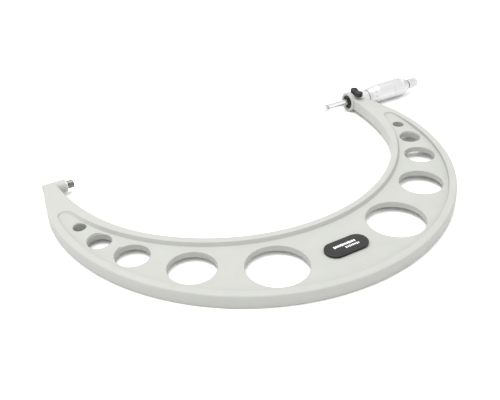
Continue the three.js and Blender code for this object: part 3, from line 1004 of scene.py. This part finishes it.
def add_ratchet():
    low, high = span("ratchet_knob")
    r = high.y

    def relief(x, share):
        if not low.x + 0.75 < x < low.x + 8.8:
            return 0.0
        return KNOB_RIB_DEPTH * (1 - min(1.0, 1.5 * triangle_wave(KNOB_RIBS * share)))

    wall = high.x - 3.0
    floor = high.x - 2.3
    outside = soften([
        (low.x, KNOB_WALL_R, 0),
        (low.x, r - 0.1, 0.3),
        (low.x + 0.7, r, 0),
    ])
    # the ribs run from the first of these rings to the last but one
    outside += [(low.x + x, r) for x in (0.9, 3, 6, 8.7, 8.9)]
    dome = [(floor + 2.2 * math.sin(t), r - 1.5 * (1 - math.cos(t)))
            for t in (math.radians(15 * i) for i in range(1, 7))]
    inside = [
        (high.x, 3.2),
        (high.x, KNOB_RECESS_R),
        (floor, KNOB_RECESS_R),
        (floor, KNOB_POST_BORE_R),
        (wall, KNOB_POST_BORE_R),
        (wall, KNOB_WALL_R),
    ]
    knob = turn(outside + dome + inside + [outside[0]], 4 * KNOB_RIBS, relief)
    piece("ratchet_cap", knob, CHROME, "ratchet_knob", "ratchet_knob", slot="satin_chrome",
          angle=40)

    low, high = span("ratchet_screw")
    under_head = high.x - CAP_HEAD["height"]
    head = turn(soften([
        (low.x, 0, 0),
        (low.x, CAP_SHANK_R, 0.1),
        (under_head, CAP_SHANK_R, 0),
        (under_head, CAP_HEAD["r"], 0.1),
        (high.x, CAP_HEAD["r"], 0.5),
        (high.x, 0, 0),
    ]), 64)
    screw = as_object("ratchet_cap_screw", head)
    combine(screw, box((high.x, 0, 0), (1.2, 8, CAP_HEAD["slot"])), "DIFFERENCE")
    piece("ratchet_cap_screw", screw, TURNED, "spindle", "ratchet_screw", slot="plain_steel")


SPRING_WIRE_R = 0.28
SPRING_TURNS = 5
SPRING_STEPS = 36  # rings to each turn of the spring
WIRE_STEPS = 12  # points round the wire


def add_spring():
    """A coil of wire filling the length of the ratchet spring."""
    low, high = span("ratchet_spring")
    coil_r = high.y - SPRING_WIRE_R
    first, last = low.x + SPRING_WIRE_R, high.x - SPRING_WIRE_R
    steps = SPRING_STEPS * SPRING_TURNS
    lead = (last - first) / (2 * math.pi * SPRING_TURNS)
    rings = []
    for i in range(steps + 1):
        angle = 2 * math.pi * SPRING_TURNS * i / steps
        out = Vector((0, math.cos(angle), math.sin(angle)))
        along = Vector((lead, -coil_r * math.sin(angle), coil_r * math.cos(angle))).normalized()
        side = along.cross(out)
        middle = Vector((first + (last - first) * i / steps, 0, 0)) + coil_r * out
        rings.append([middle + SPRING_WIRE_R * (out * math.cos(t) + side * math.sin(t))
                      for t in (2 * math.pi * k / WIRE_STEPS for k in range(WIRE_STEPS))])
    coil = piece("ratchet_spring_coil", loft(rings), TURNED, None, "ratchet_spring",
                 slot="plain_steel", angle=50)
    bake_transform(coil)


# ---- spindle lock ----

HUB_R = 3.6
LEVER_REACH = 9.0
LEVER_END_R = 3.6
LEVER_WAIST = 2.9  # half the width of the neck between the lobes
LEVER_REST = -0.12  # turn about the screw from pointing at -Y
LEVER_VOXEL = 0.2
LOCK_HEAD_R = 2.2
LOCK_HEAD_HEIGHT = 1.45
LOCK_SLOT = 0.7
LOCK_STEPS = 64  # facets round the lever's lobes and the screw


def make_lever():
    low, high = span("lock_lever")
    height = high.z - low.z
    lobes = []
    for y, r in ((0, HUB_R), (-LEVER_REACH, LEVER_END_R)):
        dome = soften([
            (0, 0, 0),
            (0, r, 0.5),
            (height - 0.1, r, 1.5),
            (height + 0.2, r * 0.4, 0.8),
            (height + 0.25, 0, 0),
        ], 6)
        lobes.append(turn_upright(dome, 0, y, LOCK_STEPS))
    place = Matrix.Translation((LOCK_X, 0, low.z)) @ Matrix.Rotation(LEVER_REST, 4, "Z")
    for bm in lobes:
        bm.transform(place)
    neck_top = 0.8 * height
    neck = box((0, -LEVER_REACH / 2, neck_top / 2), (2 * LEVER_WAIST, LEVER_REACH, neck_top), place)
    lever = as_object("lock_lever_moulding", lobes[0])
    combine(lever, lobes[1], "UNION")
    combine(lever, neck, "UNION")
    # the lobes and the neck flow into each other
    remesh = lever.modifiers.new("remesh", "REMESH")
    remesh.mode = "VOXEL"
    remesh.voxel_size = LEVER_VOXEL * MM
    softened = lever.modifiers.new("soften", "SMOOTH")
    softened.factor = 0.6
    softened.iterations = 9
    bake(lever)
    head_r = LOCK_HEAD_R + 0.06
    sink = high.z - LOCK_HEAD_HEIGHT - JOINT_GAP
    combine(lever, turn_upright([
        (low.z - 1, 0),
        (low.z - 1, LOCK_BORE_R),
        (sink, LOCK_BORE_R),
        (sink, head_r),
        (high.z + 2, head_r),
        (high.z + 2, 0),
    ], LOCK_X, 0, LOCK_STEPS), "DIFFERENCE")
    return lever


def make_lock_screw():
    low, high = span("lock_screw")
    shank_r = LOCK_BORE_R - JOINT_GAP
    under_head = high.z - LOCK_HEAD_HEIGHT
    profile = soften([
        (low.z, 0, 0),
        (low.z, shank_r, 0.2),
        (under_head, shank_r, 0),
        (under_head, LOCK_HEAD_R, 0.1),
        (high.z, LOCK_HEAD_R, 0.45),
        (high.z, 0, 0),
    ])
    screw = as_object("lock_clamp_screw", turn_upright(profile, LOCK_X, 0, LOCK_STEPS))
    combine(screw, box((LOCK_X, 0, high.z), (8, LOCK_SLOT, 1.2)), "DIFFERENCE")
    return screw


def add_lock():
    piece("lock_lever_moulding", make_lever(), LEVER_BLACK, "lock_lever", "lock_lever",
          slot="black_oxide", angle=40)
    piece("lock_clamp_screw", make_lock_screw(), LEVER_BLACK, "lock_lever", "lock_screw",
          slot="black_oxide")


# ---- plate ----

PLATE_EDGE_R = 0.3
PLATE_END_STEPS = 32
PLATE_MARK = {"level": 0.05, "sink": 0.15, "rise": 0.06}  # heights from the plate's top
# generic marks: a row of blocks over a shorter row of divisions, each with a taller one now and
# then
PLATE_ROWS = (
    {"count": 12, "x": -9.2, "y": 1.5, "step": 1.55, "width": 0.95, "height": 1.9, "tall": 2.5,
     "every": 4},
    {"count": 8, "x": -1.6, "y": -2.0, "step": 1.5, "width": 0.8, "height": 1.3, "tall": 1.9,
     "every": 2},
)


def stadium(length, width, inset_by):
    """A rectangle with round ends about the origin, moved inwards."""
    r = width / 2 - inset_by
    reach = length / 2 - width / 2
    points = []
    for side in (1, -1):
        for i in range(PLATE_END_STEPS + 1):
            a = -side * math.pi / 2 + math.pi * i / PLATE_END_STEPS
            points.append((side * reach + r * math.cos(a), r * math.sin(a)))
    return points


def add_plate():
    low, high = span("badge_plate")
    middle = (low + high) / 2
    size = high - low
    section = [(0.15, 0), (0, 0.15), (0, size.z - PLATE_EDGE_R)]
    section += [(PLATE_EDGE_R * (1 - math.cos(t)), size.z - PLATE_EDGE_R * (1 - math.sin(t)))
                for t in (math.radians(15 * i) for i in range(1, 7))]
    # the top is slightly crowned
    section += [(PLATE_EDGE_R + 1.5, size.z + 0.04), (PLATE_EDGE_R + 4.5, size.z + 0.07)]
    rings = [[(middle.x + x, middle.y + y, low.z + z) for x, y in stadium(size.x, size.y, d)]
             for d, z in section]
    piece("range_plate", loft(rings), PLATE_BLACK, "frame", "badge_plate", slot="black_plastic")

    marks = bmesh.new()
    level = high.z + PLATE_MARK["level"]
    for row in PLATE_ROWS:
        for i in range(row["count"]):
            x, y = row["x"] + row["step"] * i, row["y"]
            w, h = row["width"] / 2, row["height" if i % row["every"] else "tall"] / 2
            corners = [(x - w, y - h), (x + w, y - h), (x + w, y + h), (x - w, y + h)]
            low_ring, top_ring = [[(middle.x + u, middle.y + v, z) for u, v in corners]
                                  for z in (level - PLATE_MARK["sink"], level + PLATE_MARK["rise"])]
            add_prism(marks, low_ring, top_ring)
    bmesh.ops.recalc_face_normals(marks, faces=marks.faces)
    piece("range_plate_marks", marks, PLATE_INK, "frame", angle=60)


# ---- the object ----

piece("frame_casting", make_frame(), PAINT, "frame", "frame", slot="frame_paint", angle=30)
add_anvil()
add_seal()
add_sleeve()
add_spindle()
add_thimble()
add_ratchet()
add_spring()
add_lock()
add_plate()
for name, material in (("stem", TURNED), ("adjusting_nut", TURNED), ("ratchet_base", TURNED),
                       ("ratchet_crown", TURNED), ("lever_washer", TURNED),
                       ("lock_pad", BRASS)):
    dress(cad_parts[name], material)


# ---- stage ----

FLOOR_REACH = 1500.0
FLOOR_CELLS = 6


def add_floor():
    """A floor that the tool rests on: on its flange and on the bow's lower rim."""
    flange = Vector(((BOSS_FROM + FLANGE_TO) / 2, 0, -FLANGE_R))
    rest_angle = math.radians(-122.3)  # where the rim touches, seen from the outer arc's centre
    outward = Vector((math.cos(rest_angle), math.sin(rest_angle), 0))
    touch = Vector((BOW_X, OUTER_EDGE["y"], -HALF)) + OUTER_EDGE["r"] * outward
    slope = (touch.z - flange.z) / (touch - flange).dot(outward)
    bm = bmesh.new()
    grid = bmesh.ops.create_grid(bm, x_segments=FLOOR_CELLS, y_segments=FLOOR_CELLS,
                                 size=FLOOR_REACH)
    for v in grid["verts"]:
        v.co += Vector((BOW_X, -100, 0))
        v.co.z = touch.z + slope * (v.co - touch).to_2d().dot(outward.to_2d())
    floor = as_object("floor", bm)
    dress(floor, floor_paper())


VIEW_FROM = (-120.4, -498.2, 301.6)
VIEW_YAW = math.radians(29.773)
VIEW_PITCH = math.radians(33.237)
VIEW_ROLL = math.radians(-1.520)
VIEW_FOCAL = 1.42348  # focal length in picture widths


def add_camera():
    """A low view from the left, fitted to the known size of the tool."""
    forward = Vector((math.sin(VIEW_YAW) * math.cos(VIEW_PITCH),
                      math.cos(VIEW_YAW) * math.cos(VIEW_PITCH),
                      -math.sin(VIEW_PITCH)))
    level = Vector((math.cos(VIEW_YAW), -math.sin(VIEW_YAW), 0))
    up = level.cross(forward)
    right = level * math.cos(VIEW_ROLL) + up * math.sin(VIEW_ROLL)
    up = up * math.cos(VIEW_ROLL) - level * math.sin(VIEW_ROLL)
    data = bpy.data.cameras.new("camera")
    data.sensor_width = 36.0
    data.lens = VIEW_FOCAL * data.sensor_width
    data.clip_start = 0.01
    data.clip_end = 10.0
    camera = bpy.data.objects.new("camera", data)
    rotation = Matrix((right, up, -forward)).transposed()
    camera.matrix_world = Matrix.Translation(Vector(VIEW_FROM) * MM) @ rotation.to_4x4()
    bpy.context.scene.collection.objects.link(camera)
    bpy.context.scene.camera = camera


ROOM_BEHIND_CAMERA = 1.75  # brightness of the room on the camera's side
ROOM_BEYOND = 1.2
OVERHEAD = {"place": (0.05, 0.15, 1.1), "target": (0.13, -0.08, 0), "size": (1.2, 0.9),
            "power": 17}


def add_area(name, place, target, size, power):
    """A rectangular lamp in metres, aimed at target."""
    data = bpy.data.lights.new(name, "AREA")
    data.shape = "RECTANGLE"
    data.size, data.size_y = size
    data.energy = power
    lamp = bpy.data.objects.new(name, data)
    lamp.location = place
    aim = Vector(target) - Vector(place)
    lamp.rotation_euler = aim.to_track_quat("-Z", "Y").to_euler()
    bpy.context.scene.collection.objects.link(lamp)


def add_lights():
    """A pale room, brighter behind the camera, and a broad lamp overhead."""
    world = bpy.data.worlds.new("studio")
    bpy.context.scene.world = world
    world.use_nodes = True
    tree = world.node_tree
    background = tree.nodes["Background"]
    way = tree.nodes.new("ShaderNodeTexCoord").outputs["Generated"]

    def maths(operation, *values):
        made = tree.nodes.new("ShaderNodeMath")
        made.operation = operation
        for socket, value in zip(made.inputs, values):
            if isinstance(value, bpy.types.NodeSocket):
                tree.links.new(value, socket)
            else:
                socket.default_value = value
        return made.outputs[0]

    def between(value, start, end, low, high):
        made = tree.nodes.new("ShaderNodeMapRange")
        made.interpolation_type = "SMOOTHSTEP"
        tree.links.new(value, made.inputs["Value"])
        limits = {"From Min": start, "From Max": end, "To Min": low, "To Max": high}
        for key, number in limits.items():
            made.inputs[key].default_value = number
        return made.outputs[0]

    split = tree.nodes.new("ShaderNodeSeparateXYZ")
    tree.links.new(way, split.inputs[0])
    x, y, _ = split.outputs
    # how far a direction points away from the camera, level with the floor
    away = maths("ADD", maths("MULTIPLY", x, math.sin(VIEW_YAW)),
                 maths("MULTIPLY", y, math.cos(VIEW_YAW)))
    level = between(away, -0.6, 0.6, ROOM_BEHIND_CAMERA, ROOM_BEYOND)
    tree.links.new(level, background.inputs[0])
    add_area("overhead", **OVERHEAD)


add_floor()
add_camera()
add_lights()
bpy.context.scene.view_settings.view_transform = "Standard"
